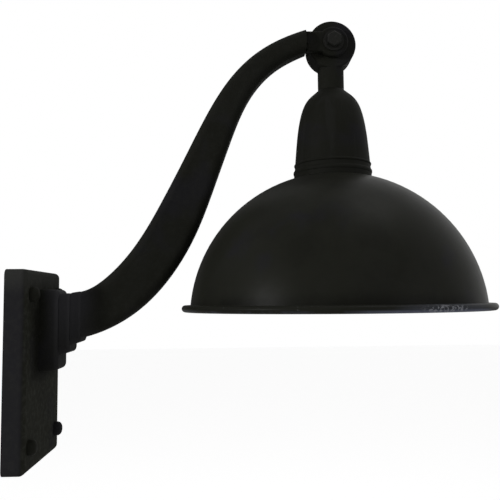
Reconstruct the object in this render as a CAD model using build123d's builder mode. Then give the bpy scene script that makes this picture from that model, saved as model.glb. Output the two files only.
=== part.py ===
from build123d import *
import os
from math import cos, radians, sin, tan

os.makedirs("parts", exist_ok=True)

# Swan-neck wall light, in millimetres. X = 0 is the wall and X points away from it, Z is up,
# and Y = 0 is the middle of the wall plate and of the arm. The lamp hangs beside the arm's plane.

# ---------------------------------------------------------------- driving dimensions
# wall plate and the bracket inside it
plate_width = 110.0
plate_height = 176.0
plate_depth = 19.0
plate_wall = 3.0
plate_corner_radius = 5.5
plate_front_round = 5.0
plate_screw_margin_y = 14.0
plate_screw_margin_z = 22.0
bracket_gap_y = 5.0
bracket_gap_z = 7.0
bracket_thickness = 2.0
bracket_corner_radius = 4.0
wall_hole_spacing_y = 60.0
wall_hole_spacing_z = 120.0
wall_hole_radius = 2.75
supply_hole_radius = 10.0
supply_hole_z = 24.0

# fasteners: M4, M5, M6 and M8
m4_radius = 2.0
m5_radius = 2.5
m6_radius = 3.0
m8_radius = 4.0
screw_fit = 0.05
through_hole_gap = 0.4
dome_head_radius = 6.8
dome_head_height = 7.0
dome_head_round = 4.6
plate_screw_length = 13.0
pillar_radius = 4.5
foot_screw_spacing = 60.0
foot_screw_length = 15.0
foot_screw_head_radius = 5.0
foot_screw_head_height = 4.0
earth_screw_y = 30.0
earth_screw_z = -48.0
earth_boss_radius = 5.0
earth_boss_height = 6.0
earth_head_radius = 4.0
earth_head_height = 2.6
earth_screw_length = 6.0

# arm: side lines as (X, Z) points from the foot to the open end
arm_end_x = 269.5
arm_root_x = 50.0
arm_top_points = [
    (arm_root_x, 67.8), (61.5, 70.9), (78.0, 81.9), (102.5, 108.6), (130.0, 154.2),
    (153.7, 200.5), (177.0, 245.6), (196.7, 275.1), (221.5, 299.1), (255.0, 317.2), (arm_end_x, 322.2),
]
arm_bottom_points = [
    (arm_root_x, 24.2), (76.0, 32.1), (109.0, 52.0), (140.2, 86.1), (160.5, 120.9),
    (179.1, 167.6), (196.2, 215.2), (216.2, 258.4), (238.1, 282.9), (257.9, 295.2), (arm_end_x, 300.4),
]
arm_width = 26.0
arm_edge_round = 8.0
arm_wall = 3.0
arm_line_steps = 12
core_end_run = 6.0
foot_channel_top_z = 58.0
foot_channel_bottom_z = 29.0
notch_length = 14.0
notch_height = 10.0
notch_z = 309.5

# three steps of the arm's foot: width, depth, and bottom and top edge where each begins and ends
foot_width = 35.0
foot_depth = 17.4
foot_base = (-4.6, 70.8)
foot_front_edges = (-3.2, 70.4)
foot_corner_radius = 6.0
foot_round = 4.0
middle_step_width = 31.0
middle_step_depth = 10.1
middle_step_base = (10.2, 66.8)
middle_step_front = (13.0, 67.2)
middle_step_round = 3.0
small_step_width = 28.4
small_step_depth = 9.5
small_step_base = (19.2, 67.6)
small_step_front = (22.4, 69.0)
small_step_round = 2.4

# tilt pivot
pivot_x = 297.0
pivot_z = 312.0
lamp_y = 16.3
tongue_height = 20.4
tongue_thickness = 6.6
tongue_edge_round = 2.0
eye_radius = 14.8
seam_gap = 0.8
plug_length = 15.0
plug_fit = 0.1
grub_positions = (0.962, 0.984)
grub_y = -4.5
grub_depth = 2.4
grub_sink = 0.5
drum_radius = 23.8
drum_depth = 26.5
drum_round = 2.0
drum_wall = 3.7
hub_radius = 9.0
friction_washer_radius = 12.0
friction_washer_thickness = 0.8
running_gap = 0.2
pivot_fit = 0.08
pivot_washer_radius = 10.2
pivot_washer_thickness = 1.6
hex_width = 13.0
hex_head_height = 5.3
hex_chamfer = 0.5
pivot_nut_height = 8.0
bolt_end_length = 1.5
slot_start_angle = 92.0
slot_end_angle = 198.0
slot_width = 11.0
slot_y = 14.5

# lamp neck and cup
neck_radius = 13.05
neck_bottom_z = 268.2
neck_wall = 4.0
neck_plug_height = 12.0
cup_wall = 1.5
cup_points = [
    (neck_radius, 0.0), (16.9, 3.4), (24.3, 10.6), (29.2, 20.2),
    (32.3, 32.1), (34.5, 46.2), (36.0, 61.2), (37.2, 75.2), (37.7, 81.2),
]
cup_height = 90.33
cup_base_radius = 38.4
cup_base_height = 4.5
cup_cove_depth = 0.9
cup_bead_radius = 1.5
cup_bead_stand = 0.9
cup_bead_drop = 76.2
cup_flange_inner = 27.0

# shade
shade_sheet = 1.2
shade_hole_radius = 26.5
collar_margin = 0.2
shade_rim_radius = 150.0
shade_lip_width = 7.7
shade_bead_radius = 3.3
shade_bead_rise = 10.43
shade_slit = 0.9
rim_wire_radius = 1.9
shade_screw_circle_radius = 31.5
shade_screw_count = 3
shade_screw_length = 9.0
shade_screw_head_radius = 3.8
shade_screw_head_height = 2.6
m4_nut_width = 7.0
m4_nut_height = 3.2

# lampholder and lamp
nipple_radius = 5.0
nipple_bore = 3.9
nipple_nut_width = 14.0
nipple_nut_height = 3.0
nipple_grip = 8.0
holder_cap_neck_radius = 9.0
holder_cap_neck_height = 8.0
holder_radius = 19.5
holder_cap_height = 24.0
holder_wall = 2.5
holder_body_height = 40.0
holder_floor = 6.0
shell_radius = 15.0
shell_wall = 1.2
shell_height = 29.0
contact_radius = 4.0
contact_height = 3.5
lamp_cap_radius = 13.25
lamp_cap_height = 23.0
lamp_tip_radius = 4.8
lamp_tip_height = 5.5
bulb_radius = 30.0
bulb_rise = 11.1
bulb_neck_radius = 12.6
bulb_wall = 1.0

# cable and its connections; the head cable's points are counted from the middle of the pivot
cable_radius = 2.8
head_cable_route = [(-22.6, -2.3, 0.0), (-14.0, 0.0, -4.0), (-7.0, 0.0, -14.0), (0.0, 0.0, -30.0)]
cable_tail = 2.0
grommet_radius = 9.0
grommet_bore = 6.4
grommet_lip = 1.5
grommet_lip_thickness = 1.2
grommet_z = 36.5
terminal_width = 32.0
terminal_height = 18.0
terminal_depth = 11.0
terminal_top_z = -18.0
terminal_screw_radius = 1.9
terminal_screw_height = 0.8
terminal_screw_pitch = 10.0

# ---------------------------------------------------------------- places worked out from the sizes
plate_front = plate_depth
plate_screw_spacing_y = plate_width - 2 * plate_screw_margin_y
plate_screw_spacing_z = plate_height - 2 * plate_screw_margin_z
bracket_width = plate_width - 2 * (plate_wall + bracket_gap_y)
bracket_height = plate_height - 2 * (plate_wall + bracket_gap_z)
plate_inside = plate_depth - plate_wall
foot_front = plate_front + foot_depth
middle_front = foot_front + middle_step_depth
small_front = middle_front + small_step_depth
foot_centre_z = (foot_base[0] + foot_base[1]) / 2
drum_front = lamp_y - drum_depth / 2
drum_back = lamp_y + drum_depth / 2
tongue_back = drum_front - running_gap - friction_washer_thickness
tongue_front = tongue_back - tongue_thickness
tongue_start_x = arm_end_x + seam_gap
head_washer_front = tongue_front - pivot_washer_thickness
friction_washer_back = drum_back + running_gap
nut_washer_front = friction_washer_back + friction_washer_thickness
nut_front = nut_washer_front + pivot_washer_thickness
bolt_back = nut_front + pivot_nut_height + bolt_end_length
cup_base_z = neck_bottom_z - cup_height
cup_bead_z = neck_bottom_z - cup_bead_drop
collar_radius = cup_base_radius + collar_margin
shade_sphere_radius = shade_rim_radius - shade_lip_width
shade_sphere_z = cup_base_z - (shade_sphere_radius**2 - collar_radius**2) ** 0.5
shade_bead_z = shade_sphere_z + shade_bead_rise
holder_cap_top = neck_bottom_z - cup_wall - nipple_nut_height
holder_body_top = holder_cap_top - holder_cap_height
holder_floor_z = holder_body_top - holder_floor
lamp_tip_z = holder_floor_z - contact_height
lamp_cap_top = lamp_tip_z - lamp_tip_height
lamp_cap_bottom = lamp_cap_top - lamp_cap_height
shade_screw_bottom = cup_base_z - shade_sheet
shade_screw_end = shade_screw_bottom - shade_screw_head_height
bulb_centre_z = shade_screw_end + bulb_rise - bulb_radius
bulb_bottom = bulb_centre_z - bulb_radius
bulb_neck_drop = lamp_cap_bottom - bulb_centre_z
lamp_axis = Axis((pivot_x, lamp_y, 0), (0, 0, 1))
lamp_section = Plane(origin=(pivot_x, lamp_y, 0), x_dir=(1, 0, 0), z_dir=(0, -1, 0))


def pivot_plane(y):
    """Plane square to the pivot at a given Y; its normal points towards negative Y."""
    return Plane(origin=(pivot_x, y, pivot_z), x_dir=(1, 0, 0), z_dir=(0, -1, 0))


def lamp_level(z):
    """Level plane centred on the lamp's axis."""
    return Plane(origin=(pivot_x, lamp_y, z), x_dir=(1, 0, 0), z_dir=(0, 0, 1))


def shifted_points(line, distance, steps):
    """Points along a flat line, moved square to it, to the right for a positive distance."""
    points = []
    for step in range(steps + 1):
        direction = line % (step / steps)
        points.append(line @ (step / steps) + Vector(direction.Y, -direction.X) * distance)
    return points


# ---------------------------------------------------------------- wall plate
with BuildPart() as wall_plate:
    with BuildSketch(Plane.YZ):
        RectangleRounded(plate_width, plate_height, plate_corner_radius)
    extrude(amount=plate_depth)
    fillet(wall_plate.edges().group_by(Axis.X)[-1], plate_front_round)
    with BuildSketch(Plane.YZ):
        RectangleRounded(
            plate_width - 2 * plate_wall, plate_height - 2 * plate_wall, plate_corner_radius - plate_wall
        )
    extrude(amount=plate_inside, mode=Mode.SUBTRACT)
    with BuildSketch(Plane.YZ.offset(plate_inside - earth_boss_height)):
        with Locations((earth_screw_y, earth_screw_z)):
            Circle(earth_boss_radius)
            Circle(m4_radius + screw_fit, mode=Mode.SUBTRACT)
    extrude(amount=earth_boss_height)
    with BuildSketch(Plane.YZ.offset(plate_inside)):
        with GridLocations(plate_screw_spacing_y, plate_screw_spacing_z, 2, 2):
            Circle(m5_radius + through_hole_gap)
        with Locations((0, foot_centre_z)):
            with GridLocations(0, foot_screw_spacing, 1, 2):
                Circle(m6_radius + through_hole_gap)
        with Locations((0, grommet_z)):
            Circle(grommet_radius)
    extrude(amount=plate_wall, mode=Mode.SUBTRACT)
wall_plate.part.label = "wall_plate"
export_step(wall_plate.part, "parts/wall_plate.step")

# ---------------------------------------------------------------- wall bracket with its pillars
with BuildPart() as wall_bracket:
    with BuildSketch(Plane.YZ):
        RectangleRounded(bracket_width, bracket_height, bracket_corner_radius)
        with GridLocations(wall_hole_spacing_y, wall_hole_spacing_z, 2, 2):
            Circle(wall_hole_radius, mode=Mode.SUBTRACT)
        with Locations((0, supply_hole_z)):
            Circle(supply_hole_radius, mode=Mode.SUBTRACT)
    extrude(amount=bracket_thickness)
wall_bracket.part.label = "wall_bracket"
export_step(wall_bracket.part, "parts/wall_bracket.step")

with BuildPart() as bracket_pillars:
    with BuildSketch(Plane.YZ.offset(bracket_thickness)):
        with GridLocations(plate_screw_spacing_y, plate_screw_spacing_z, 2, 2):
            Circle(pillar_radius)
            Circle(m5_radius + screw_fit, mode=Mode.SUBTRACT)
    extrude(amount=plate_inside - bracket_thickness)
bracket_pillars.part.label = "bracket_pillars"
export_step(bracket_pillars.part, "parts/bracket_pillars.step")

with BuildPart() as plate_screws:
    with BuildSketch(Plane.YZ.offset(plate_front)):
        with GridLocations(plate_screw_spacing_y, plate_screw_spacing_z, 2, 2):
            Circle(dome_head_radius)
    extrude(amount=dome_head_height)
    fillet(plate_screws.edges().group_by(Axis.X)[-1], dome_head_round)
    with BuildSketch(Plane.YZ.offset(plate_front)):
        with GridLocations(plate_screw_spacing_y, plate_screw_spacing_z, 2, 2):
            Circle(m5_radius)
    extrude(amount=-plate_screw_length)
plate_screws.part.label = "plate_screws"
export_step(plate_screws.part, "parts/plate_screws.step")

# ---------------------------------------------------------------- arm with its stepped foot
arm_top_line = Spline(*arm_top_points)
arm_bottom_line = Spline(*arm_bottom_points)


def arm_profile(inset, root_points, end_run):
    """Side profile of the swan neck, moved inwards by inset, lengthened at its root and its end."""
    with BuildSketch(Plane.XZ) as profile:
        with BuildLine():
            top = Spline(*shifted_points(arm_top_line, inset, arm_line_steps))
            bottom = Spline(*shifted_points(arm_bottom_line, -inset, arm_line_steps))
            Polyline(top @ 0, *root_points, bottom @ 0)
            Polyline(top @ 1, top @ 1 + top % 1 * end_run, bottom @ 1 + bottom % 1 * end_run, bottom @ 1)
        make_face()
    return profile.sketch


def arm_core(gap, root_x):
    """The arm's hollow, less a gap: a cross-shaped section that keeps the wall at the rounded edges."""
    root_points = [(root_x, foot_channel_top_z), (root_x, foot_channel_bottom_z)]
    step = arm_edge_round / 2
    with BuildPart() as core:
        tall_profile = arm_profile(arm_wall + gap, root_points, core_end_run)
        extrude(tall_profile, amount=arm_width / 2 - arm_wall - gap - step, both=True)
        low_profile = arm_profile(arm_wall + gap + step, root_points, core_end_run)
        extrude(low_profile, amount=arm_width / 2 - arm_wall - gap, both=True)
    return core.part


def grub_plane(position):
    """Plane on top of the arm near its end, facing out of the metal."""
    point = arm_top_line @ position
    direction = arm_top_line % position
    return Plane(origin=(point.X, grub_y, point.Y), x_dir=(0, 1, 0), z_dir=(-direction.Y, 0, direction.X))


def step_sketch(x, width, edges):
    """Rounded rectangle on a plane facing away from the wall, between a bottom and a top height."""
    with BuildSketch(Plane.YZ.offset(x)) as step:
        with Locations((0, (edges[0] + edges[1]) / 2)):
            RectangleRounded(width, edges[1] - edges[0], foot_corner_radius)
    return step.sketch


foot_steps = (
    (plate_front, foot_front, foot_width, foot_base, foot_front_edges, foot_round),
    (foot_front, middle_front, middle_step_width, middle_step_base, middle_step_front, middle_step_round),
    (middle_front, small_front, small_step_width, small_step_base, small_step_front, small_step_round),
)


with BuildPart() as swan_neck:
    with BuildSketch(Plane.XZ):
        with BuildLine():
            add(arm_top_line)
            add(arm_bottom_line)
            Line(arm_top_line @ 0, arm_bottom_line @ 0)
            Line(arm_top_line @ 1, arm_bottom_line @ 1)
        make_face()
    extrude(amount=arm_width / 2, both=True)
    fillet(swan_neck.edges().filter_by(GeomType.BSPLINE), arm_edge_round)

with BuildPart() as arm:
    for step_back, step_front, width, back_edges, front_edges, edge_round in foot_steps:
        loft([step_sketch(step_back, width, back_edges), step_sketch(step_front, width, front_edges)])
        fillet(arm.edges().group_by(Axis.X)[-1], edge_round)
    add(swan_neck.part)
    add(arm_core(0, plate_front - 1), mode=Mode.SUBTRACT)
    with BuildSketch(Plane.YZ.offset(plate_front)):
        with Locations((0, foot_centre_z)):
            with GridLocations(0, foot_screw_spacing, 1, 2):
                Circle(m6_radius + screw_fit)
    extrude(amount=foot_screw_length - plate_wall + 2, mode=Mode.SUBTRACT)
    for position in grub_positions:
        with BuildSketch(grub_plane(position).offset(1)):
            Circle(m5_radius + screw_fit)
        extrude(amount=-(arm_wall + grub_depth + 1), mode=Mode.SUBTRACT)
    with BuildSketch(Plane.YZ.offset(arm_end_x + 1)):
        with Locations((arm_width / 2, notch_z)):
            Rectangle(3 * arm_wall, notch_height)
    extrude(amount=-notch_length - 1, mode=Mode.SUBTRACT)
arm.part.label = "arm"
export_step(arm.part, "parts/arm.step")

with BuildPart() as foot_screws:
    with BuildSketch(Plane.YZ.offset(plate_inside)):
        with Locations((0, foot_centre_z)):
            with GridLocations(0, foot_screw_spacing, 1, 2):
                Circle(foot_screw_head_radius)
    extrude(amount=-foot_screw_head_height)
    with BuildSketch(Plane.YZ.offset(plate_inside)):
        with Locations((0, foot_centre_z)):
            with GridLocations(0, foot_screw_spacing, 1, 2):
                Circle(m6_radius)
    extrude(amount=foot_screw_length)
foot_screws.part.label = "foot_screws"
export_step(foot_screws.part, "parts/foot_screws.step")

# ---------------------------------------------------------------- tongue with its eye, and grub screws
with BuildPart() as arm_tongue:
    add(arm_core(plug_fit, plate_front))
    with BuildSketch(Plane.YZ.offset(arm_end_x - plug_length)):
        with Locations((tongue_back - arm_width, pivot_z)):
            Rectangle(2 * arm_width, 4 * arm_width)
    extrude(amount=plug_length + seam_gap + 1, mode=Mode.INTERSECT)
    with BuildPart(mode=Mode.PRIVATE) as bar:
        with BuildSketch(pivot_plane(tongue_back)):
            Circle(eye_radius)
            with Locations(((tongue_start_x - pivot_x) / 2, 0)):
                Rectangle(pivot_x - tongue_start_x, tongue_height)
        extrude(amount=tongue_thickness)
        fillet(bar.edges().group_by(Axis.Y)[0], tongue_edge_round)
    add(bar.part)
    with BuildSketch(pivot_plane(tongue_back)):
        Circle(m8_radius + pivot_fit)
    extrude(amount=tongue_thickness, mode=Mode.SUBTRACT)
    for position in grub_positions:
        with BuildSketch(grub_plane(position).offset(-arm_wall - grub_depth)):
            Circle(m5_radius + screw_fit)
        extrude(amount=2 * grub_depth, mode=Mode.SUBTRACT)
arm_tongue.part.label = "arm_tongue"
export_step(arm_tongue.part, "parts/arm_tongue.step")

with BuildPart() as grub_screws:
    for position in grub_positions:
        with BuildSketch(grub_plane(position).offset(-grub_sink)):
            Circle(m5_radius)
        extrude(amount=-(arm_wall + grub_depth - grub_sink))
grub_screws.part.label = "grub_screws"
export_step(grub_screws.part, "parts/grub_screws.step")

# ---------------------------------------------------------------- pivot bolt, washers and nut
with BuildPart() as pivot_bolt:
    with BuildSketch(pivot_plane(head_washer_front)):
        RegularPolygon(hex_width / 2, 6, major_radius=False, rotation=30)
    extrude(amount=hex_head_height)
    chamfer(pivot_bolt.edges().group_by(Axis.Y)[0], hex_chamfer)
    with BuildSketch(pivot_plane(head_washer_front)):
        Circle(m8_radius)
    extrude(amount=-(bolt_back - head_washer_front))
pivot_bolt.part.label = "pivot_bolt"
export_step(pivot_bolt.part, "parts/pivot_bolt.step")

with BuildPart() as pivot_washers:
    for washer_front in (head_washer_front, nut_washer_front):
        with BuildSketch(pivot_plane(washer_front)):
            Circle(pivot_washer_radius)
            Circle(m8_radius + pivot_fit, mode=Mode.SUBTRACT)
        extrude(amount=-pivot_washer_thickness)
pivot_washers.part.label = "pivot_washers"
export_step(pivot_washers.part, "parts/pivot_washers.step")

with BuildPart() as friction_washers:
    for washer_front in (tongue_back, friction_washer_back):
        with BuildSketch(pivot_plane(washer_front)):
            Circle(friction_washer_radius)
            Circle(m8_radius + pivot_fit, mode=Mode.SUBTRACT)
        extrude(amount=-friction_washer_thickness)
friction_washers.part.label = "friction_washers"
export_step(friction_washers.part, "parts/friction_washers.step")

with BuildPart() as pivot_nut:
    with BuildSketch(pivot_plane(nut_front)):
        RegularPolygon(hex_width / 2, 6, major_radius=False, rotation=30)
        Circle(m8_radius + screw_fit, mode=Mode.SUBTRACT)
    extrude(amount=-pivot_nut_height)
    chamfer(pivot_nut.edges().filter_by(GeomType.LINE).group_by(Axis.Y)[-1], hex_chamfer)
pivot_nut.part.label = "pivot_nut"
export_step(pivot_nut.part, "parts/pivot_nut.step")

# ---------------------------------------------------------------- knuckle: drum and neck in one casting
slot_reach = 2 * drum_radius
slot_angles = (slot_start_angle, (slot_start_angle + slot_end_angle) / 2, slot_end_angle)
slot_corners = [(slot_reach * cos(radians(a)), slot_reach * sin(radians(a))) for a in slot_angles]

with BuildPart() as knuckle:
    with BuildSketch(pivot_plane(lamp_y)):
        Circle(drum_radius)
    extrude(amount=drum_depth / 2, both=True)
    fillet(knuckle.edges().filter_by(GeomType.CIRCLE), drum_round)
    with BuildSketch(lamp_level(neck_bottom_z)):
        Circle(neck_radius)
    extrude(amount=pivot_z - hub_radius - neck_bottom_z)
    with BuildSketch(pivot_plane(lamp_y)):
        Circle(drum_radius - drum_wall)
        Circle(hub_radius, mode=Mode.SUBTRACT)
    extrude(amount=drum_depth / 2 - drum_wall, both=True, mode=Mode.SUBTRACT)
    with BuildSketch(lamp_level(neck_bottom_z + neck_plug_height)):
        Circle(neck_radius - neck_wall)
    extrude(amount=pivot_z - hub_radius - neck_wall - neck_bottom_z - neck_plug_height, mode=Mode.SUBTRACT)
    with BuildSketch(lamp_level(neck_bottom_z)):
        Circle(nipple_radius + screw_fit)
    extrude(amount=neck_plug_height, mode=Mode.SUBTRACT)
    with BuildSketch(pivot_plane(lamp_y)):
        Circle(m8_radius + pivot_fit)
    extrude(amount=drum_depth, both=True, mode=Mode.SUBTRACT)
    with BuildSketch(pivot_plane(slot_y)):
        Polygon((0, 0), *slot_corners, align=None)
        Circle(drum_radius - drum_wall - 1, mode=Mode.SUBTRACT)
    extrude(amount=slot_width / 2, both=True, mode=Mode.SUBTRACT)
knuckle.part.label = "knuckle"
export_step(knuckle.part, "parts/knuckle.step")

# ---------------------------------------------------------------- bell-shaped cup
cup_line = Spline(*[(radius, neck_bottom_z - drop) for radius, drop in cup_points])

bead_level = Edge.make_line((0, cup_bead_z), (2 * cup_base_radius, cup_bead_z))
cup_bead_x = cup_line.find_intersection_points(bead_level)[0].X + cup_bead_stand - cup_bead_radius
cove_top = cup_line @ 1
cove_foot = Vector(cup_base_radius, cup_base_z + cup_base_height)

with BuildPart() as cup:
    with BuildSketch(lamp_section):
        with BuildLine():
            add(cup_line)
            inner = Spline(*shifted_points(cup_line, cup_wall, len(cup_points)))
            SagittaArc(cove_top, cove_foot, cup_cove_depth)
            Polyline(
                cove_foot,
                (cup_base_radius, cup_base_z),
                (cup_flange_inner, cup_base_z),
                (cup_flange_inner, cup_base_z + cup_wall),
                (cup_base_radius - cup_wall, cup_base_z + cup_wall),
                (cup_base_radius - cup_wall, cup_base_z + cup_base_height - cup_wall / 2),
                inner @ 1,
            )
            Polyline(
                inner @ 0,
                ((inner @ 0).X, neck_bottom_z - cup_wall),
                (nipple_radius + screw_fit, neck_bottom_z - cup_wall),
                (nipple_radius + screw_fit, neck_bottom_z),
                cup_line @ 0,
            )
        make_face()
        with Locations((cup_bead_x, cup_bead_z)):
            Circle(cup_bead_radius)
    revolve(axis=lamp_axis)
    with BuildSketch(lamp_level(cup_base_z)):
        with PolarLocations(shade_screw_circle_radius, shade_screw_count):
            Circle(m4_radius + through_hole_gap)
    extrude(amount=cup_wall, mode=Mode.SUBTRACT)
cup.part.label = "cup"
export_step(cup.part, "parts/cup.step")

# ---------------------------------------------------------------- threaded nipple and its nut
nipple_bottom = holder_cap_top - nipple_grip
with BuildPart() as nipple:
    with BuildSketch(lamp_level(nipple_bottom)):
        Circle(nipple_radius)
        Circle(nipple_bore, mode=Mode.SUBTRACT)
    extrude(amount=neck_bottom_z + neck_plug_height - nipple_bottom)
nipple.part.label = "nipple"
export_step(nipple.part, "parts/nipple.step")

with BuildPart() as nipple_nut:
    with BuildSketch(lamp_level(holder_cap_top)):
        RegularPolygon(nipple_nut_width / 2, 6, major_radius=False)
        Circle(nipple_radius + screw_fit, mode=Mode.SUBTRACT)
    extrude(amount=nipple_nut_height)
nipple_nut.part.label = "nipple_nut"
export_step(nipple_nut.part, "parts/nipple_nut.step")

# ---------------------------------------------------------------- lampholder
shoulder_z = holder_cap_top - holder_cap_neck_height
shoulder_drop = (holder_cap_height - holder_cap_neck_height) / 2
with BuildPart() as holder_cap:
    with BuildSketch(lamp_section):
        with BuildLine():
            Polyline(
                (nipple_radius + screw_fit, holder_cap_top),
                (holder_cap_neck_radius, holder_cap_top),
                (holder_cap_neck_radius, shoulder_z),
                (holder_radius, shoulder_z - shoulder_drop),
                (holder_radius, holder_body_top),
                (holder_radius - holder_wall, holder_body_top),
                (holder_radius - holder_wall, shoulder_z - shoulder_drop - holder_wall / 2),
                (holder_cap_neck_radius, shoulder_z - holder_wall),
                (nipple_radius + screw_fit, shoulder_z - holder_wall),
                close=True,
            )
        make_face()
    revolve(axis=lamp_axis)
holder_cap.part.label = "holder_cap"
export_step(holder_cap.part, "parts/holder_cap.step")

with BuildPart() as holder_body:
    with BuildSketch(lamp_level(holder_body_top - holder_body_height)):
        Circle(holder_radius)
    extrude(amount=holder_body_height)
    with BuildSketch(lamp_level(holder_body_top - holder_body_height)):
        Circle(shell_radius + screw_fit)
    extrude(amount=holder_body_height - holder_floor, mode=Mode.SUBTRACT)
holder_body.part.label = "holder_body"
export_step(holder_body.part, "parts/holder_body.step")

with BuildPart() as threaded_shell:
    with BuildSketch(lamp_level(holder_floor_z - shell_height)):
        Circle(shell_radius)
        Circle(shell_radius - shell_wall, mode=Mode.SUBTRACT)
    extrude(amount=shell_height)
threaded_shell.part.label = "threaded_shell"
export_step(threaded_shell.part, "parts/threaded_shell.step")

with BuildPart() as centre_contact:
    with BuildSketch(lamp_level(lamp_tip_z)):
        Circle(contact_radius)
    extrude(amount=contact_height)
centre_contact.part.label = "centre_contact"
export_step(centre_contact.part, "parts/centre_contact.step")

# ---------------------------------------------------------------- lamp
with BuildPart() as lamp_cap:
    with BuildSketch(lamp_section):
        with BuildLine():
            Polyline(
                (0, lamp_tip_z),
                (lamp_tip_radius, lamp_tip_z),
                (lamp_tip_radius, lamp_tip_z - lamp_tip_height / 3),
                (lamp_cap_radius, lamp_cap_top),
                (lamp_cap_radius, lamp_cap_bottom),
                (0, lamp_cap_bottom),
                close=True,
            )
        make_face()
    revolve(axis=lamp_axis)
lamp_cap.part.label = "lamp_cap"
export_step(lamp_cap.part, "parts/lamp_cap.step")

# the neck is a hollow curve, upright where it leaves the cap and tangent to the round globe
bulb_neck_curve = (bulb_neck_radius**2 + bulb_neck_drop**2 - bulb_radius**2) / (
    2 * (bulb_radius - bulb_neck_radius)
)


def bulb_shoulder(radius):
    """Point where a globe of this radius meets the hollow curve of the neck."""
    share = radius / (bulb_radius + bulb_neck_curve)
    return (share * (bulb_neck_radius + bulb_neck_curve), bulb_centre_z + share * bulb_neck_drop)


bulb_inside = bulb_radius - bulb_wall
with BuildPart() as bulb:
    with BuildSketch(lamp_section):
        with BuildLine():
            neck_start = (bulb_neck_radius, lamp_cap_bottom)
            inside_start = (bulb_neck_radius - bulb_wall, lamp_cap_bottom)
            RadiusArc(neck_start, bulb_shoulder(bulb_radius), -bulb_neck_curve)
            RadiusArc(bulb_shoulder(bulb_radius), (0, bulb_bottom), bulb_radius)
            Line((0, bulb_bottom), (0, bulb_bottom + bulb_wall))
            RadiusArc(bulb_shoulder(bulb_inside), (0, bulb_bottom + bulb_wall), bulb_inside)
            RadiusArc(inside_start, bulb_shoulder(bulb_inside), -(bulb_neck_curve + bulb_wall))
            Line(inside_start, neck_start)
        make_face()
    revolve(axis=lamp_axis)
bulb.part.label = "bulb"
export_step(bulb.part, "parts/bulb.step")

# ---------------------------------------------------------------- spun shade with its wired edge
shade_inner_radius = shade_sphere_radius - shade_sheet
bead_centre = shade_rim_radius - shade_bead_radius
lip_top = shade_bead_z + shade_bead_radius
collar_inner = (collar_radius, cup_base_z - shade_sheet)
wall_outer = (shade_sphere_radius**2 - (lip_top - shade_sphere_z) ** 2) ** 0.5
wall_inner = (shade_inner_radius**2 - (lip_top - shade_sheet - shade_sphere_z) ** 2) ** 0.5

with BuildPart() as shade:
    with BuildSketch(lamp_section):
        with BuildLine():
            outer_arc = RadiusArc((wall_outer, lip_top), (collar_radius, cup_base_z), -shade_sphere_radius)
            Polyline(
                outer_arc @ 1,
                (shade_hole_radius, cup_base_z),
                (shade_hole_radius, cup_base_z - shade_sheet),
                collar_inner,
            )
            RadiusArc(collar_inner, (wall_inner, lip_top - shade_sheet), shade_inner_radius)
            Polyline(
                (wall_inner, lip_top - shade_sheet),
                (bead_centre, lip_top - shade_sheet),
                (bead_centre, lip_top),
                outer_arc @ 0,
            )
        make_face()
        with Locations((bead_centre, shade_bead_z)):
            Circle(shade_bead_radius)
            Circle(shade_bead_radius - shade_sheet, mode=Mode.SUBTRACT)
        with Locations((bead_centre - shade_bead_radius, shade_bead_z - shade_slit / 2)):
            Rectangle(2 * shade_sheet + shade_bead_radius / 4, shade_slit, mode=Mode.SUBTRACT)
    revolve(axis=lamp_axis)
    with BuildSketch(lamp_level(cup_base_z)):
        with PolarLocations(shade_screw_circle_radius, shade_screw_count):
            Circle(m4_radius + through_hole_gap)
    extrude(amount=-shade_sheet, mode=Mode.SUBTRACT)
shade.part.label = "shade"
export_step(shade.part, "parts/shade.step")

with BuildPart() as rim_wire:
    with BuildSketch(lamp_section):
        with Locations((bead_centre, shade_bead_z)):
            Circle(rim_wire_radius)
    revolve(axis=lamp_axis)
rim_wire.part.label = "rim_wire"
export_step(rim_wire.part, "parts/rim_wire.step")

# ---------------------------------------------------------------- screws and nuts between shade and cup
with BuildPart() as shade_screws:
    with BuildSketch(lamp_level(shade_screw_bottom)):
        with PolarLocations(shade_screw_circle_radius, shade_screw_count):
            Circle(shade_screw_head_radius)
    extrude(amount=-shade_screw_head_height)
    with BuildSketch(lamp_level(shade_screw_bottom)):
        with PolarLocations(shade_screw_circle_radius, shade_screw_count):
            Circle(m4_radius)
    extrude(amount=shade_screw_length)
shade_screws.part.label = "shade_screws"
export_step(shade_screws.part, "parts/shade_screws.step")

with BuildPart() as shade_nuts:
    with BuildSketch(lamp_level(cup_base_z + cup_wall)):
        with PolarLocations(shade_screw_circle_radius, shade_screw_count):
            RegularPolygon(m4_nut_width / 2, 6, major_radius=False)
            Circle(m4_radius + screw_fit, mode=Mode.SUBTRACT)
    extrude(amount=m4_nut_height)
shade_nuts.part.label = "shade_nuts"
export_step(shade_nuts.part, "parts/shade_nuts.step")

# ---------------------------------------------------------------- connections behind the plate
with BuildPart() as grommet:
    with BuildSketch(Plane.YZ.offset(plate_inside)):
        with Locations((0, grommet_z)):
            Circle(grommet_radius)
    extrude(amount=plate_wall)
    with BuildSketch(Plane.YZ.offset(plate_inside)):
        with Locations((0, grommet_z)):
            Circle(grommet_radius + grommet_lip)
    extrude(amount=-grommet_lip_thickness)
    with BuildSketch(Plane.YZ.offset(plate_front)):
        with Locations((0, grommet_z)):
            Circle(grommet_bore)
    extrude(amount=-plate_depth, mode=Mode.SUBTRACT)
grommet.part.label = "grommet"
export_step(grommet.part, "parts/grommet.step")

terminal_centre_z = terminal_top_z - terminal_height / 2
with BuildPart() as terminal_block:
    with BuildSketch(Plane.YZ.offset(bracket_thickness)):
        with Locations((0, terminal_centre_z)):
            Rectangle(terminal_width, terminal_height)
    extrude(amount=terminal_depth)
terminal_block.part.label = "terminal_block"
export_step(terminal_block.part, "parts/terminal_block.step")

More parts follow.
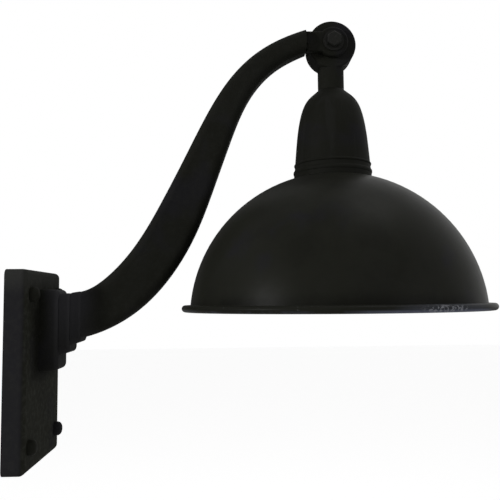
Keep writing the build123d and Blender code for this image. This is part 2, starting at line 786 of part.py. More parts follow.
with BuildPart() as terminal_screws:
    with BuildSketch(Plane.YZ.offset(bracket_thickness + terminal_depth)):
        with Locations((0, terminal_centre_z)):
            with GridLocations(terminal_screw_pitch, terminal_height / 2, 3, 2):
                Circle(terminal_screw_radius)
    extrude(amount=terminal_screw_height)
terminal_screws.part.label = "terminal_screws"
export_step(terminal_screws.part, "parts/terminal_screws.step")

earth_boss_face = plate_inside - earth_boss_height
with BuildPart() as earth_screw:
    with BuildSketch(Plane.YZ.offset(earth_boss_face)):
        with Locations((earth_screw_y, earth_screw_z)):
            Circle(earth_head_radius)
    extrude(amount=-earth_head_height)
    with BuildSketch(Plane.YZ.offset(earth_boss_face)):
        with Locations((earth_screw_y, earth_screw_z)):
            Circle(m4_radius)
    extrude(amount=earth_screw_length)
earth_screw.part.label = "earth_screw"
export_step(earth_screw.part, "parts/earth_screw.step")

# ---------------------------------------------------------------- cables
def corner_radii(points):
    """Bend radius at each inner point: as large as the shorter run beside it allows."""
    radii = []
    for before, corner, after in zip(points, points[1:], points[2:]):
        run_in = Vector(*corner) - Vector(*before)
        run_out = Vector(*after) - Vector(*corner)
        turn = radians(run_in.get_angle(run_out))
        radii.append(0.45 * min(run_in.length, run_out.length) / tan(turn / 2))
    return radii


arm_cable_points = [
    (7.0, 0.0, terminal_top_z), (7.0, 0.0, 8.0), (12.0, 0.0, 36.0), (38.0, 0.0, 46.0), (64.0, 0.0, 51.0),
    (89.0, 0.0, 65.0), (114.5, 0.0, 88.6), (134.0, 0.0, 118.0), (153.5, 0.0, 156.5), (170.2, 0.0, 195.5),
    (187.0, 0.0, 233.5), (207.0, 0.0, 268.0), (231.0, 0.0, 291.5), (252.0, 5.2, 305.0), (271.5, 12.5, 311.8),
]
head_cable_points = [(pivot_x + x, lamp_y + y, pivot_z + z) for x, y, z in head_cable_route]
head_cable_points.append((pivot_x, lamp_y, shoulder_z - holder_wall - cable_tail))
for cable_name, points in (("arm_cable", arm_cable_points), ("head_cable", head_cable_points)):
    radii = corner_radii(points)
    print(cable_name, "bend radii", [round(radius, 1) for radius in radii])
    with BuildPart() as cable:
        with BuildLine():
            route = FilletPolyline(*points, radius=radii)
        with BuildSketch(Plane(origin=route @ 0, z_dir=route % 0)):
            Circle(cable_radius)
        sweep(path=route)
    print(cable_name, "length", round(route.length, 1), "volume", round(cable.part.volume, 1))
    cable.part.label = cable_name
    export_step(cable.part, f"parts/{cable_name}.step")
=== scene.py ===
# %% [markdown]
# # A swan-neck wall light
# This file dresses the working model of a wall light: a rectangular wall plate, a cast arm shaped
# like a swan's neck, and a spun metal dome that hangs from a tilting knuckle. The model brings the
# real shape and size of every piece, so no new shape is made here. What is added is what the eye
# sees: the finish of every surface, the light that falls on it, and the photographer's place. All
# lengths are in metres; X points out of the wall, Z is up, and the wall itself is the plane X = 0.

import math

import bpy
from mathutils import Matrix, Vector


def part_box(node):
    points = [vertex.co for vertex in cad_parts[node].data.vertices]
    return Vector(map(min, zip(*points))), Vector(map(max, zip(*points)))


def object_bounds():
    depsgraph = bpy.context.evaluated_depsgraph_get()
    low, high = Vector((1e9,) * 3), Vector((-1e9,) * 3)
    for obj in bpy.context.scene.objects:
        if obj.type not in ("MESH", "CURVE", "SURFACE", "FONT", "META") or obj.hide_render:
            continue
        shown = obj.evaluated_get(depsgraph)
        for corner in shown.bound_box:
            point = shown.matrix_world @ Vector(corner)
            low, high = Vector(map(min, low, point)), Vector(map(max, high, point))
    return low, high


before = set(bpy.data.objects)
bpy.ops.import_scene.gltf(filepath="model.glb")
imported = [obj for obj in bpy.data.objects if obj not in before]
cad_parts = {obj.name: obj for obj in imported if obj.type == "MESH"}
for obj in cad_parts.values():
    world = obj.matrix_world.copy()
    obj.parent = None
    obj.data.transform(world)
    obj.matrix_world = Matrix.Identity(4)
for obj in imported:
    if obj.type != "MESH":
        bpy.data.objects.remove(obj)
cad_box = [list(corner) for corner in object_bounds()]
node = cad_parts
print("nodes:", len(node), "box:", cad_box)

# %% [markdown]
# ## Where the camera stands
# The photograph was taken from the side of the arm, a little above the plate's middle, looking
# slightly up and slightly away from the wall. A camera has three directions: where it looks, its
# right hand and its up. They are built here from three small turns, and written as the columns of a
# matrix, because a matrix says exactly what the camera does, with no guessing about turn order. The
# focal length is kept in pixels of the photograph, which is how it was measured.

# %% Camera
CAMERA_PLACE = (0.1927, -0.6050, 0.0596)
YAW = -0.0339
PITCH = 0.0781
ROLL = 0.0095
IMAGE_SIDE = 500.0
FOCAL_PIXELS = 633.07
NEAREST_SEEN = 0.01


def camera_matrix():
    """Columns: right hand, up, and backwards, each turned by the yaw, the pitch and the roll."""
    level_right = Vector((math.cos(YAW), math.sin(YAW), 0.0))
    forward = Vector((
        -math.sin(YAW) * math.cos(PITCH),
        math.cos(YAW) * math.cos(PITCH),
        math.sin(PITCH),
    ))
    level_down = forward.cross(level_right)
    right = level_right * math.cos(ROLL) + level_down * math.sin(ROLL)
    down = level_down * math.cos(ROLL) - level_right * math.sin(ROLL)
    turn = Matrix((right, -down, -forward)).transposed().to_4x4()
    return Matrix.Translation(CAMERA_PLACE) @ turn


camera_data = bpy.data.cameras.new("camera")
camera_data.sensor_fit = "HORIZONTAL"
camera_data.angle = 2 * math.atan(IMAGE_SIDE / 2 / FOCAL_PIXELS)
camera_data.clip_start = NEAREST_SEEN
camera = bpy.data.objects.new("camera", camera_data)
camera.matrix_world = camera_matrix()
bpy.context.scene.collection.objects.link(camera)
bpy.context.scene.camera = camera
print("camera angle in degrees:", round(math.degrees(camera_data.angle), 2))

# %% [markdown]
# ## Writing shaders as sums
# A finish is a small calculation: a noise here, a mask there, mixed into a colour. Wiring nodes one
# by one hides that. So `Value` wraps the output of a node, and adding or multiplying two of them
# adds the Math node. The formula can then be read in one line, as it would be on paper.


# %% A value that can be added and multiplied
class Value:
    """The output socket of a node, which Python's operators turn into Math nodes."""

    def __init__(self, finish, socket):
        self.finish = finish
        self.socket = socket

    def math(self, operation, *others):
        sockets = {0: self, **dict(enumerate(others, 1))}
        return self.finish.add("ShaderNodeMath", {"operation": operation}, sockets)

    def __add__(self, other):
        return self.math("ADD", other)

    def __sub__(self, other):
        return self.math("SUBTRACT", other)

    def __mul__(self, other):
        return self.math("MULTIPLY", other)

    def __rsub__(self, other):
        return (self * -1.0) + other

    def __abs__(self):
        return self.math("ABSOLUTE")

    __radd__ = __add__
    __rmul__ = __mul__

    def above(self, low, high):
        """0 below low, 1 above high, and a smooth rise in between."""
        settings = {"interpolation_type": "SMOOTHSTEP"}
        sockets = {"Value": self, "From Min": low, "From Max": high}
        return self.finish.add("ShaderNodeMapRange", settings, sockets)


print("made the class", Value.__name__)

# %% [markdown]
# ## One method for every node
# `Finish` makes a material and has one method, `add`, that makes any node from its type, its
# settings and the values or links of its sockets. The other methods are short names for the nodes
# that every finish needs. Patterns read the object's own coordinates, so they stay on a piece when
# it moves, and `feed` links only what changes over the surface.


# %% A material
MIX_FACTOR, MIX_FIRST, MIX_SECOND, MIX_RESULT = 0, 6, 7, 2     # the Mix node's colour sockets


class Finish:
    """A material whose nodes are made by add(); its surface shader is self.shader."""

    def __init__(self, name, **constants):
        self.material = bpy.data.materials.new(name)
        self.material.use_nodes = True
        self.tree = self.material.node_tree
        self.shader = self.tree.nodes["Principled BSDF"]
        for socket, value in constants.items():
            self.shader.inputs[socket.replace("_", " ")].default_value = value
        self.place = self.add("ShaderNodeTexCoord", output="Object")

    def add(self, kind, settings=None, sockets=None, output=0):
        """A new node: its settings are set first, then its sockets get their values or links."""
        made = self.tree.nodes.new(kind)
        for name, value in (settings or {}).items():
            setattr(made, name, value)
        for name, value in (sockets or {}).items():
            if isinstance(value, Value):
                self.tree.links.new(value.socket, made.inputs[name])
            else:
                made.inputs[name].default_value = value
        return Value(self, made.outputs[output])

    def noise(self, scale, detail=3.0, roughness=0.6, place=None):
        """Cloudy values around 0.5, with about `scale` clouds in a metre."""
        sockets = {"Vector": place or self.place, "Scale": scale}
        sockets.update({"Detail": detail, "Roughness": roughness})
        return self.add("ShaderNodeTexNoise", {}, sockets)

    def stretched(self, x, y, z):
        """The object's own coordinates, each multiplied by its own number."""
        return self.add("ShaderNodeMapping", {}, {"Vector": self.place, "Scale": (x, y, z)})

    def part(self, axis):
        """One of the three object coordinates."""
        return self.add("ShaderNodeSeparateXYZ", {}, {"Vector": self.place}, "XYZ".index(axis))

    def blend(self, factor, first, second):
        """A colour between two others."""
        sockets = {MIX_FACTOR: factor, MIX_FIRST: first, MIX_SECOND: second}
        return self.add("ShaderNodeMix", {"data_type": "RGBA"}, sockets, MIX_RESULT)

    def bump(self, height, strength, distance):
        """A surface normal tilted by the slope of the height; distance is its depth in metres."""
        sockets = {"Height": height, "Strength": strength, "Distance": distance}
        return self.add("ShaderNodeBump", {}, sockets)

    def feed(self, **links):
        """Links values to the surface shader's sockets."""
        for socket, value in links.items():
            self.tree.links.new(value.socket, self.shader.inputs[socket.replace("_", " ")])
        return self.material


print("made the class", Finish.__name__)

# %% [markdown]
# ## The black finish
# Almost everything that shows is painted with the same matte black powder coat. Powder coat isn't
# flat: it has a faint orange peel, a millimetre across, and it lies over the unevenness of a
# casting. Its black isn't one black either: in places it leans to olive and in others to blue, and
# dust makes it paler. One grey with noise on it would look like plastic, so each of these is a
# noise of its own size.

# %% Colours of the black coat
PAINT = 0.0102
PAINT_DUSTY = 0.0150
OLIVE = 0.22
COOL = -0.16
COOL_CLOUDS = 17.0          # clouds in a metre
COOL_SOFTNESS = 0.16


def grey(level, olive=0.0):
    """A grey that leans to olive for a positive number and to blue for a negative one."""
    return (level, level * (1 + 0.12 * olive), level * (1 - olive), 1.0)


def black_colour(finish, dusty, cool_from, depth):
    """Olive black that turns to cool black in clouds above cool_from, and paler with dust."""
    cool = finish.noise(COOL_CLOUDS, 3.0, 0.55).above(cool_from, cool_from + COOL_SOFTNESS)
    clean = finish.blend(cool, grey(PAINT * depth, OLIVE), grey(PAINT * depth, COOL))
    return finish.blend(dusty, clean, grey(PAINT_DUSTY, OLIVE / 3))


print("clean black:", grey(PAINT, OLIVE), "dusty black:", grey(PAINT_DUSTY, OLIVE / 3))

# %% [markdown]
# ## Painted shade beside the foot, and painted light on its middle step
# The coat is painted darker on the plate beside the arm's foot, as a painted shade, least at the upper
# end. The foot's middle step is painted paler and a little blue, as painted light, most at its upper
# end, and this fades towards the plate and the neck. A painted map could say this, but the foot and
# the plate stand square to the axes, so distances along them are enough. The foot's height is taken
# from its two screws, which span most of it.

# %% Where the foot and the plate are
arm_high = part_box("arm")[1]
plate_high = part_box("wall_plate")[1]
foot_half_width = arm_high.y             # the arm is widest at its foot
foot_bottom, foot_top = (corner.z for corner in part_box("foot_screws"))
plate_face = plate_high.x
plate_top = plate_high.z
print("foot:", round(foot_half_width, 4), round(foot_bottom, 4), round(foot_top, 4))
print("plate:", round(plate_face, 4), round(plate_top, 4))

# %% Masks of painted shade and painted light
# Painted shade beside the foot: how far it reaches, the share of its width over which it is full, and
# how much lighter it is in a strip at the top.
CORNER_SHADE_REACH = 0.032
CORNER_SHADE_UNBROKEN = 0.1                      # the share of its width over which the dirt is full
NARROWER = 2.0                           # above, below and outwards it reaches only half as far
TOP_STRIP_OF_LESS_SHADE = 0.022
SHADE_LEFT_OUT_AT_TOP = 0.7
# Painted light on the foot's middle step: where it starts and ends along X, its least strength, and
# its rise towards the top.
STEP_LIGHT_FROM = (plate_face + 0.001, plate_face + 0.018)
STEP_LIGHT_TO = (plate_face + 0.025, plate_face + 0.058)
STEP_LIGHT_LEAST = 0.28
STEP_LIGHT_RISE = 0.95


def painted_corner_shade(finish):
    """Painted shade: 1 beside the foot, falling softly to 0 at a set distance from it, and less near
    the top.
    """
    middle_z = (foot_bottom + foot_top) / 2
    half_z = (foot_top - foot_bottom) / 2
    beside = abs(finish.part("Y")) - foot_half_width
    above = (abs(finish.part("Z") - middle_z) - half_z) * NARROWER
    outwards = (finish.part("X") - plate_face) * NARROWER
    away = beside.math("MAXIMUM", above).math("MAXIMUM", outwards)
    less_shade_at_top = finish.part("Z").above(foot_top - TOP_STRIP_OF_LESS_SHADE, foot_top) * SHADE_LEFT_OUT_AT_TOP
    return (1.0 - away.above(CORNER_SHADE_REACH * CORNER_SHADE_UNBROKEN, CORNER_SHADE_REACH)) * (1.0 - less_shade_at_top)


def painted_step_light(finish):
    """Painted light: 1 on the foot's middle step, fading both ways along X, times a rise from bottom
    to top.
    """
    step = finish.part("X").above(*STEP_LIGHT_FROM) * (1.0 - finish.part("X").above(*STEP_LIGHT_TO))
    return step * (finish.part("Z").above(foot_bottom, foot_top) * STEP_LIGHT_RISE + STEP_LIGHT_LEAST)


# Prints the reach of the painted shade beside the foot and the span of the painted light on its middle
# step.
print("dirt reaches", CORNER_SHADE_REACH, "handled from", STEP_LIGHT_FROM, "to", STEP_LIGHT_TO)


# %% [markdown]
# ## The coat on the castings
# The castings, the cup and the plate's screws share one recipe, with other amounts: `casting` is how
# much of the rough mould still shows through the paint, `dust` how much of the pale clouds, and
# `depth` how pale the black is. The cup has been wiped, so its dust lies in upright streaks. The
# plate's front is mottled, and its sides are cooler than its front. Its upper edge carries a painted
# highlight, the plate beside the foot carries a painted shade, and the foot's middle step carries
# painted light. One recipe keeps them in one family, as they are on the real light.

# %% Black powder coat
CLOUDS = 34.0                            # clouds in a metre, here and in the next four lines
SPECKS = 420.0
PATCHES = 210.0
PEEL = 1150.0
WAVES = 130.0
STREAKS = (85.0, 85.0, 5.0)
PEEL_HEIGHT = 0.25
COAT_RELIEF = 0.00035
# Painted highlight along the plate's top edge; then the colours of it, of the painted light on the
# step and of the painted shade beside the foot.
TOP_HIGHLIGHT_BAND = (plate_top - 0.026, plate_top - 0.004)
TOP_HIGHLIGHT_PAINT = grey(PAINT * 3.2, OLIVE * 0.3)
STEP_LIGHT_PAINT = grey(PAINT * 2.8, COOL * 0.5)
CORNER_SHADE_PAINT = grey(PAINT * 0.2, OLIVE)


def facing_along_x(finish):
    """1 where the surface faces along X, as the plate's front does, and 0 where it faces sideways."""
    normal = finish.add("ShaderNodeNewGeometry", output="Normal")
    return abs(finish.add("ShaderNodeSeparateXYZ", {}, {"Vector": normal})).above(0.3, 0.8)


def black_coat(name, casting, dust, depth=1.0, cool_from=0.50, roughness=0.68, specular=0.04,
               wiped=0.0, mottled=0.0, cool_sides=0.0, light_on_step=False, painted_top_and_corner=False):
    """Black paint with pale clouds; bump is an orange peel plus the slow waves of a casting."""
    finish = Finish(name, Specular_IOR_Level=specular)
    clouds = finish.noise(CLOUDS, 4.0).above(0.42, 0.72)
    specks = finish.noise(SPECKS, 2.0, 0.5).above(0.60, 0.74)
    dusty = (clouds * 0.75 + specks * 0.45) * dust
    if wiped:
        streaks = finish.noise(1.0, place=finish.stretched(*STREAKS)).above(0.48, 0.68)
        dusty = dusty + streaks * wiped
    colour = black_colour(finish, dusty, cool_from, depth)
    patches = finish.noise(PATCHES, 4.0, 0.65).above(0.42, 0.68) * mottled
    if cool_sides:
        front = facing_along_x(finish)
        colour = finish.blend((1.0 - front) * cool_sides, colour, grey(PAINT * depth, COOL))
        patches = patches * (front * 0.75 + 0.25)
    if mottled:
        colour = finish.blend(patches, colour, grey(PAINT * depth * 2.2, OLIVE * 0.6))
    # Painted light on the foot's middle step, paler and a little blue.
    if light_on_step:
        colour = finish.blend(painted_step_light(finish) * 0.85, colour, STEP_LIGHT_PAINT)
    # Painted highlight along the plate's top edge, and painted shade on the plate beside the foot.
    if painted_top_and_corner:
        colour = finish.blend(finish.part("Z").above(*TOP_HIGHLIGHT_BAND) * 0.7, colour, TOP_HIGHLIGHT_PAINT)
        # Painted shade on the plate beside the foot.
        colour = finish.blend(painted_corner_shade(finish) * 0.75, colour, CORNER_SHADE_PAINT)
    rough = finish.noise(90.0) * 0.16 + dusty * 0.12 + (roughness - 0.08)
    height = finish.noise(PEEL, 1.0, 0.4) * PEEL_HEIGHT + finish.noise(WAVES, 3.0, 0.5) * casting
    bumps = finish.bump(height, 0.6, COAT_RELIEF)
    return finish.feed(Base_Color=colour, Roughness=rough, Normal=bumps)


coat_plate = black_coat("black coat, plate", casting=2.4, dust=0.8, depth=1.50, cool_from=0.56,
                        roughness=0.80, specular=0.03, mottled=0.60, cool_sides=0.8, painted_top_and_corner=True)
coat_arm = black_coat("black coat, arm", casting=2.0, dust=0.4, depth=0.80, mottled=0.15, light_on_step=True)
coat_knuckle = black_coat("black coat, knuckle", casting=1.4, dust=0.5)
coat_cup = black_coat("black coat, cup", casting=0.4, dust=0.3, depth=0.82, cool_from=0.56,
                      roughness=0.62, wiped=0.45)
print("black coats:", coat_plate.name, coat_arm.name, coat_knuckle.name, coat_cup.name)

# %% [markdown]
# ## The spun dome
# The dome is sheet steel, pressed round over a turning former, so its faint tool marks run level
# around it. The coat is the same black, smoother than on a casting and smudged. It is darker in a
# noisy band just above the rolled edge, and round the cup on the wall's side a painted shade stands
# for the cup's shadow. On the rolled edge, on the photographer's side away from the wall, lies a
# painted highlight: a paler sheen, a pale bluish line on its underside and small bright glints.
# Chips of wear and a faint rubbed line are scattered all round. Such marks could be placed by hand,
# but they follow the shape, so they are worked out from two things: how far a point lies below the
# middle of the rolled edge, and to which side of the lamp it faces.

# %% Where the dome and its rolled edge are
wire_low, wire_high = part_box("rim_wire")
shade_low, shade_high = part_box("shade")
lamp_centre = (wire_low + wire_high) / 2
bead_radius = lamp_centre.z - shade_low.z
rim_radius = (shade_high.x - shade_low.x) / 2
print("rolled edge at height", round(lamp_centre.z, 4), "with radius", round(bead_radius, 4))
print("rim radius", round(rim_radius, 4))

# %% Bearings and colours of the rim's painted highlight and of the painted shade by the cup
RIM_SHEEN_SIDE = math.radians(-62.0)
RIM_GLINT_SIDE = math.radians(-64.0)
RIM_HIGHLIGHT_SIDE = math.radians(-66.0)
CUP_SHADE_SIDE = math.radians(180.0)
CUP_SHADE_FROM = 0.40
CUP_SHADE_TO = 0.65
RIM_SHEEN_PAINT = (0.032, 0.034, 0.040, 1.0)
RUBBED_AND_HIGHLIGHT_PAINT = (0.075, 0.082, 0.112, 1.0)
CHIP_AND_GLINT_PAINT = (0.190, 0.195, 0.215, 1.0)
DOME_DIRT_AND_SHADE = grey(PAINT * 0.4, OLIVE)
TOOL_MARKS = (1.0, 1.0, 420.0)
# The painted sheen and the painted highlight on the rolled edge face these bearings.
print("worn from bearing", round(math.degrees(RIM_SHEEN_SIDE)), "rubbed", round(math.degrees(RIM_HIGHLIGHT_SIDE)))


# %% Finish of the dome
def dome_coat(name):
    """The black coat with level tool marks; masks are soft steps of drop, bearing and radius.

    drop is the depth below the middle of the rolled edge, in radii of that edge, and a side is the
    cosine of the angle between a bearing and the direction from the lamp's axis.
    """
    finish = Finish(name, Specular_IOR_Level=0.035)
    clouds = finish.noise(22.0, 4.0).above(0.40, 0.75)
    specks = finish.noise(380.0, 2.0, 0.5).above(0.62, 0.76)
    colour = black_colour(finish, clouds * 0.30 + specks * 0.12, cool_from=0.54, depth=1.15)
    across = (finish.part("X") - lamp_centre[0]) * (1 / rim_radius)
    along = (finish.part("Y") - lamp_centre[1]) * (1 / rim_radius)
    drop = (lamp_centre.z - finish.part("Z")) * (1 / bead_radius)
    on_bead = 1.0 - abs(drop).above(1.0, 1.25)

    def side(bearing, cosine_out, cosine_in):
        """1 on the part of the rim that faces the bearing, 0 past the outer cosine."""
        return (across * math.cos(bearing) + along * math.sin(bearing)).above(cosine_out, cosine_in)

    from_axis = (across * across + along * along).math("SQRT")
    # Painted shade round the cup's foot on the wall's side, standing for the cup's shadow.
    cup_shade = (1.0 - from_axis.above(CUP_SHADE_FROM, CUP_SHADE_TO)) * side(CUP_SHADE_SIDE, 0.0, 0.25)
    # Darker in a noisy band just above the rolled edge.
    darkening = drop.above(-4.5, -1.2) * (1.0 - on_bead) * finish.noise(30.0).above(0.25, 0.60)
    smudges = finish.noise(15.0, 5.0, 0.65).above(0.44, 0.64)
    # Painted sheen on the rolled edge, on the photographer's side.
    rim_sheen = side(RIM_SHEEN_SIDE, 0.925, 0.985) * on_bead * (finish.noise(120.0) * 0.6 + 0.5)
    thin = finish.noise(60.0).above(0.46, 0.66) * 0.2
    # Painted highlight: a pale bluish line under the rolled edge on that side, with a faint rubbed
    # line all round.
    rubbed = drop.above(0.02, 0.65) * on_bead * (side(RIM_HIGHLIGHT_SIDE, 0.84, 0.96) * 0.85 + thin)
    grain = finish.noise(400.0)
    # Painted glints on that side, with chips of wear scattered all round.
    chips_and_glints = grain.above(0.50, 0.58) * on_bead * side(RIM_GLINT_SIDE, 0.982, 0.995)
    chips_and_glints = chips_and_glints + grain.above(0.68, 0.72) * on_bead * 0.3
    # The darker low band, the painted shade by the cup and the smudges darken the coat.
    colour = finish.blend(darkening * 0.42 + cup_shade * 0.6 + smudges * 0.30, colour, DOME_DIRT_AND_SHADE)
    colour = finish.blend(rim_sheen, colour, RIM_SHEEN_PAINT)
    colour = finish.blend(rubbed, colour, RUBBED_AND_HIGHLIGHT_PAINT)
    colour = finish.blend(chips_and_glints * 0.85, colour, CHIP_AND_GLINT_PAINT)
    rough = finish.noise(70.0) * 0.10 + 0.34 - rubbed * 0.08 + cup_shade * 0.35
    marks = finish.noise(1.0, 2.0, place=finish.stretched(*TOOL_MARKS))
    height = finish.noise(PEEL, 1.0, 0.4) * 0.22 + marks * 0.16 - chips_and_glints * 0.5
    bumps = finish.bump(height, 0.5, COAT_RELIEF)
    return finish.feed(Base_Color=colour, Roughness=rough, Normal=bumps)


coat_dome = dome_coat("black coat, dome")
print("dome:", coat_dome.name, "with", len(coat_dome.node_tree.nodes), "nodes")

# %% [markdown]
# ## Bare metals
# The pieces inside and behind the light keep their own finish: zinc on the bracket, brass on the
# threads, steel in the rolled edge, nickel on the lamp's cap. They are small, so one recipe for
# bare metal takes a colour and a roughness. Fine grain tilts the surface, and clouds of tarnish
# make it darker and duller, because clean metal of one colour looks like a mirror.

# %% Finish of the bare metals
METAL_GRAIN = 300.0
DULLED = 0.45


def bare_metal(name, colour, roughness, tarnish=0.3):
    """Metal with a fine even grain and duller clouds."""
    finish = Finish(name, Metallic=1.0)
    clouds = finish.noise(70.0).above(0.40, 0.70) * tarnish
    even = finish.stretched(METAL_GRAIN, METAL_GRAIN, METAL_GRAIN)
    fine = finish.noise(1.0, 2.0, place=even)
    dull = tuple(channel * DULLED for channel in colour) + (1.0,)
    mixed = finish.blend(clouds, colour + (1.0,), dull)
    rough = fine * 0.18 + clouds * 0.25 + (roughness - 0.09)
    return finish.feed(Base_Color=mixed, Roughness=rough, Normal=finish.bump(fine, 0.25, 0.0001))


zinc = bare_metal("zinc plating", (0.40, 0.41, 0.42), 0.42, tarnish=0.25)
brass = bare_metal("brass", (0.70, 0.50, 0.24), 0.32)
steel_wire = bare_metal("steel wire", (0.45, 0.45, 0.45), 0.40)
cap_metal = bare_metal("nickel-plated cap", (0.66, 0.65, 0.63), 0.28, tarnish=0.15)
shell_metal = bare_metal("rolled shell", (0.60, 0.58, 0.54), 0.35)
print("metals:", zinc.name, brass.name, steel_wire.name, cap_metal.name, shell_metal.name)

# %% [markdown]
# ## Black-finished steel
# The pivot's bolt, washers and nut and the other black screws are steel with a thin black finish,
# not paint. It is a little shinier than the coat, and rubbed paler in small spots. Such a finish
# hides the metal's shine, so the shader stays a dark one with a weak gloss, and isn't a metal.

# %% Finish of the black screws
RUBBED_STEEL = 0.040


def blackened_steel(name):
    """Black-finished steel: dark, a little shinier than the paint, rubbed paler in small spots."""
    finish = Finish(name, Specular_IOR_Level=0.08)
    rubbed = finish.noise(240.0).above(0.58, 0.78) * 0.5
    colour = finish.blend(rubbed, grey(PAINT, OLIVE / 2), grey(RUBBED_STEEL, OLIVE / 4))
    rough = 0.50 - rubbed * 0.16 + finish.noise(500.0, 2.0, 0.5) * 0.08
    height = finish.noise(900.0, 2.0, 0.5) * 0.5 + finish.noise(200.0, 2.0, 0.5)
    return finish.feed(Base_Color=colour, Roughness=rough, Normal=finish.bump(height, 0.4, 0.0002))


black_steel = blackened_steel("black-finished steel")
print("screws:", black_steel.name)

# %% [markdown]
# ## Plastics, fibre and rubber
# The lampholder is black bakelite, the terminal block a white plastic, the cable has a dark grey
# sheath in a rubber grommet, and brown pressed fibre lies between the joint's faces. All are
# moulded or pressed, so they share faint clouds over a fine grain, and differ in colour, gloss and
# the size of the grain.

# %% Finish of the moulded pieces
CLOUDED = 0.72


def moulded(name, colour, roughness, grain=700.0, specular=0.4):
    """Moulded plastic or rubber: one colour with faint clouds over a fine moulded grain."""
    finish = Finish(name, Specular_IOR_Level=specular)
    clouds = finish.noise(60.0).above(0.35, 0.75) * 0.6
    darker = tuple(channel * CLOUDED for channel in colour) + (1.0,)
    mixed = finish.blend(clouds, colour + (1.0,), darker)
    rough = finish.noise(grain * 0.3, 2.0, 0.5) * 0.12 + (roughness - 0.06)
    bumps = finish.bump(finish.noise(grain, 2.0, 0.5), 0.35, 0.00015)
    return finish.feed(Base_Color=mixed, Roughness=rough, Normal=bumps)


holder_black = moulded("black bakelite", (0.016, 0.015, 0.014), 0.34)
fibre_brown = moulded("pressed fibre", (0.085, 0.055, 0.035), 0.75, grain=1500.0, specular=0.2)
rubber_black = moulded("rubber", (0.018, 0.018, 0.018), 0.70)
terminal_white = moulded("terminal block", (0.72, 0.70, 0.64), 0.42)
sheath_grey = moulded("cable sheath", (0.030, 0.030, 0.030), 0.50, grain=500.0)
print("plastics:", holder_black.name, terminal_white.name)
print("fibre, rubber and sheath:", fibre_brown.name, rubber_black.name, sheath_grey.name)

# %% [markdown]
# ## Frosted glass of the lamp
# The bulb is etched inside, so it looks milky and shows nothing of what is in it. Fully clear glass
# would need its wires and would be slow to render. A mix of a pale surface and some rough
# transmission gives the same look from outside.


# %% Finish of the bulb
def frosted_glass(name):
    """Milky glass: part of the light goes through, softened by an etched inside."""
    finish = Finish(name, Transmission_Weight=0.35, IOR=1.46)
    etched = finish.noise(900.0, 2.0)
    clouds = finish.noise(40.0).above(0.35, 0.75)
    colour = finish.blend(clouds, (0.86, 0.86, 0.84, 1.0), (0.78, 0.78, 0.75, 1.0))
    rough = etched * 0.15 + 0.30
    return finish.feed(Base_Color=colour, Roughness=rough, Normal=finish.bump(etched, 0.2, 0.0001))


bulb_white = frosted_glass("frosted glass")
print("bulb:", bulb_white.name)

# %% [markdown]
# ## Which piece has which finish
# Every node of the model has the right shape, so it keeps its mesh and only gets a finish. One
# table says it for every node, so that none is forgotten, and the loop prints any that would stay
# bare.

# %% Finishes of the model's own nodes
FINISH_OF = {
    coat_plate: ("wall_plate",),
    coat_arm: ("arm", "arm_tongue"),
    coat_knuckle: ("knuckle", "plate_screws"),
    coat_cup: ("cup",),
    coat_dome: ("shade",),
    black_steel: ("grub_screws", "pivot_bolt", "pivot_washers", "pivot_nut", "shade_screws"),
    zinc: ("wall_bracket", "bracket_pillars", "foot_screws", "shade_nuts"),
    brass: ("nipple", "nipple_nut", "centre_contact", "terminal_screws", "earth_screw"),
    steel_wire: ("rim_wire",),
    shell_metal: ("threaded_shell",),
    cap_metal: ("lamp_cap",),
    bulb_white: ("bulb",),
    holder_black: ("holder_cap", "holder_body"),
    fibre_brown: ("friction_washers",),
    rubber_black: ("grommet",),
    terminal_white: ("terminal_block",),
    sheath_grey: ("arm_cable", "head_cable"),
}
dressed = set()
for finish_material, names in FINISH_OF.items():
    for name in names:
        node[name].data.materials.clear()
        node[name].data.materials.append(finish_material)
        dressed.add(name)
print("nodes left bare:", sorted(set(node) - dressed))

# %% [markdown]
# ## White surroundings
# The photograph shows the light cut out on pure white. Brighter lamps would wash the paint out, so
# the world tells its rays apart: the camera and the glass see full white, reflections see a little
# less, and the light that falls on the object is plain and soft. A photographer often hangs a dark
# cloth on one side of a black object, so that its edge stays dark against the white. Here too one
# direction, behind the light on the wall's side, is dim for reflections alone.

# %% World
bpy.context.scene.view_settings.view_transform = "Standard"
WORLD_LIGHT = 0.26
SEEN_WHITE = 1.0
GLOSSY_WHITE = 0.90
DIM_SIDE = 0.10
DIM_DIRECTION = (-0.6, 0.8, 0.1)
DIM_FROM_COSINE = 0.55
DIM_TO_COSINE = 0.92

world = bpy.data.worlds.new("studio")
world.use_nodes = True
bpy.context.scene.world = world
sky = world.node_tree
ray = sky.nodes.new("ShaderNodeLightPath")


def backdrop(level):
    """White surroundings of one strength, a number or an output."""
    made = sky.nodes.new("ShaderNodeBackground")
    made.inputs["Color"].default_value = (1.0, 1.0, 1.0, 1.0)
    if isinstance(level, float):
        made.inputs["Strength"].default_value = level
    else:
        sky.links.new(level, made.inputs["Strength"])
    return made.outputs[0]


def dimmer_one_way():
    """GLOSSY_WHITE all round, falling to DIM_SIDE as the cosine to DIM_DIRECTION rises."""
    direction = sky.nodes.new("ShaderNodeTexCoord")
    cosine = sky.nodes.new("ShaderNodeVectorMath")
    cosine.operation = "DOT_PRODUCT"
    cosine.inputs[1].default_value = Vector(DIM_DIRECTION).normalized()
    fade = sky.nodes.new("ShaderNodeMapRange")
    fade.interpolation_type = "SMOOTHSTEP"
    sky.links.new(direction.outputs["Generated"], cosine.inputs[0])
    sky.links.new(cosine.outputs["Value"], fade.inputs["Value"])
    ends = (DIM_FROM_COSINE, DIM_TO_COSINE, GLOSSY_WHITE, DIM_SIDE)
    for socket, value in zip(("From Min", "From Max", "To Min", "To Max"), ends):
        fade.inputs[socket].default_value = value
    return fade.outputs[0]


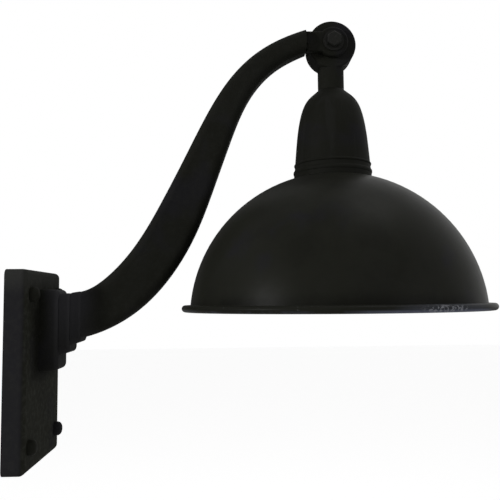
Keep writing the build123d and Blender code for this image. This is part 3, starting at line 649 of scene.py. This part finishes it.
around = backdrop(WORLD_LIGHT)
seen_by_rays = {
    "Is Glossy Ray": dimmer_one_way(),
    "Is Transmission Ray": SEEN_WHITE,
    "Is Camera Ray": SEEN_WHITE,
}
for kind_of_ray, level in seen_by_rays.items():
    mixed = sky.nodes.new("ShaderNodeMixShader")
    sky.links.new(ray.outputs[kind_of_ray], mixed.inputs[0])
    sky.links.new(around, mixed.inputs[1])
    sky.links.new(backdrop(level), mixed.inputs[2])
    around = mixed.outputs[0]
sky.links.new(around, sky.nodes["World Output"].inputs["Surface"])
print("world:", world.name, "lights with", WORLD_LIGHT, "and shows", SEEN_WHITE)

# %% [markdown]
# ## A pale floor
# A floor lies well below the light and keeps its shadow. It is so low that a camera looking up from
# below still stands above it. A pale floor under soft light would look grey, so it glows a little,
# and more so for the camera alone, which brings it near white and leaves the light as it is.

# %% Floor
FLOOR_DROP = 0.80
FLOOR_HALF = 12.0
FLOOR_GLOW = 0.12
FLOOR_SEEN = 0.72

floor_z = cad_box[0][2] - FLOOR_DROP
directions = ((-1, -1), (1, -1), (1, 1), (-1, 1))
floor_corners = [(x * FLOOR_HALF, y * FLOOR_HALF, floor_z) for x, y in directions]
floor_mesh = bpy.data.meshes.new("floor")
floor_mesh.from_pydata(floor_corners, [], [(0, 1, 2, 3)])
floor = bpy.data.objects.new("floor", floor_mesh)
bpy.context.scene.collection.objects.link(floor)
pale = Finish("pale floor", Base_Color=(0.80, 0.80, 0.80, 1.0), Roughness=0.9, Emission_Strength=1.0)
seen_by_camera = pale.add("ShaderNodeLightPath", output="Is Camera Ray")
pale.feed(Emission_Color=seen_by_camera * (FLOOR_SEEN - FLOOR_GLOW) + FLOOR_GLOW)
floor_mesh.materials.append(pale.material)
print("floor at", round(floor_z, 3))

# %% [markdown]
# ## Three lamps
# A black object is drawn by its reflections more than by its colour, and most of them come from the
# white surroundings. The lamps add the rest. The large one, high on the right, strengthens the
# sheen on the dome's shoulder. The small one on the left makes the bright spot low on the dome and
# lights the left of cup and arm. The wide one on the right lifts the plate's front and the dome's
# lower right. They are square area lamps, because their size sets how soft a reflection is.

# %% Lamps
LAMPS = (
    # name, place, size, power
    ("key, above on the right", (1.1, -0.1, 2.4), 1.0, 10.0),
    ("small lamp, near on the left", (-1.50, -1.05, 0.50), 0.20, 22.0),
    ("fill, near on the right", (1.75, -1.30, 0.10), 0.9, 7.0),
)


def area_lamp(name, place, target, size, power):
    """A square soft box at a place, facing a target."""
    data = bpy.data.lights.new(name, "AREA")
    data.size = size
    data.energy = power
    lamp = bpy.data.objects.new(name, data)
    aim = (Vector(target) - Vector(place)).to_track_quat("-Z", "Y")
    lamp.matrix_world = Matrix.Translation(place) @ aim.to_matrix().to_4x4()
    bpy.context.scene.collection.objects.link(lamp)


middle = tuple((low + high) / 2 for low, high in zip(*cad_box))
for name, place, size, power in LAMPS:
    area_lamp(name, place, middle, size, power)
print("lamps:", len(LAMPS), "aimed at", [round(value, 3) for value in middle])
